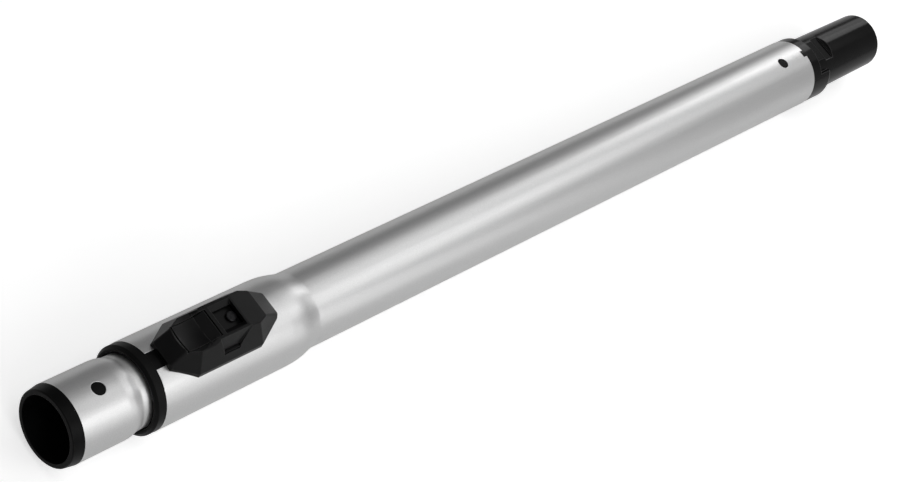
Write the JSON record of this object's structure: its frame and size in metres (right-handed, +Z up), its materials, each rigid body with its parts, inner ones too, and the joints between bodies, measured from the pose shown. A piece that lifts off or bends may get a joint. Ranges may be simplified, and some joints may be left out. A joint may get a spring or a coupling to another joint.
{
  "type": "telescopic vacuum wand",
  "caption": "Telescopic suction wand: a satin inner tube slides in an outer tube and locks with a rocker thumb key; socket at one end, tapered spigot at the other.",
  "frame": {"origin": "centre of the handle socket's mouth plane, on the wand's axis", "axes": "+X runs along the wand from the handle socket to the floor-head spigot; +Z points up through the middle of the latch"},
  "size_m": [0.6773, 0.0476, 0.0598],
  "materials": {
    "satin_aluminium": "satin drawn tube",
    "black_plastic": "fine matte",
    "cover_plastic": "satin moulded",
    "gloss_black": "half gloss",
    "guide_plastic": "plain moulded",
    "steel": "plain bright",
    "felt": "dense felt",
    "seal_rubber": "soft matte"
  },
  "bodies": {
    "outer": {"outer_tube": "satin_aluminium", "collar_ring": "black_plastic", "wiper_ring": "felt", "guide_shell_upper": "guide_plastic", "guide_shell_lower": "guide_plastic", "latch_base": "black_plastic", "guide_shoe": "guide_plastic", "latch_cover": "cover_plastic", "key_pivot_pin": "steel", "key_spring": "steel", "lower_connector": "gloss_black", "connector_seal": "seal_rubber", "button_spring": "steel"},
    "inner": {"inner_tube": "satin_aluminium", "mouth_sleeve": "black_plastic", "end_bush": "guide_plastic", "end_seal": "seal_rubber"},
    "key": {"thumb_key": "cover_plastic"},
    "pin": {"lock_pin": "steel"},
    "button": {"connector_button": "black_plastic"}
  },
  "joints": [
    {"name": "telescope", "type": "slide", "parent": "outer", "child": "inner", "axis": [-1, 0, 0], "range_m": [0, 0.375]},
    {"name": "key_pivot", "type": "hinge", "parent": "outer", "child": "key", "pos_m": [0.09, 0, 0.02852], "axis": [0, -1, 0], "range_deg": [-4.5, 4.5], "stiffness_Nm_per_rad": 0.3, "deforming": ["key_spring"]},
    {"name": "lock_lift", "type": "slide", "parent": "outer", "child": "pin", "axis": [0, 0, 1], "range_m": [-0.00095, 0.00095]},
    {"name": "button_press", "type": "slide", "parent": "outer", "child": "button", "axis": [0, 0, -1], "range_m": [0, 0.002], "stiffness_N_per_m": 400, "deforming": ["button_spring"]}
  ],
  "couplings": [
    {"joint": "lock_lift", "follows": "key_pivot", "m_per_rad": 0.012}
  ]
}
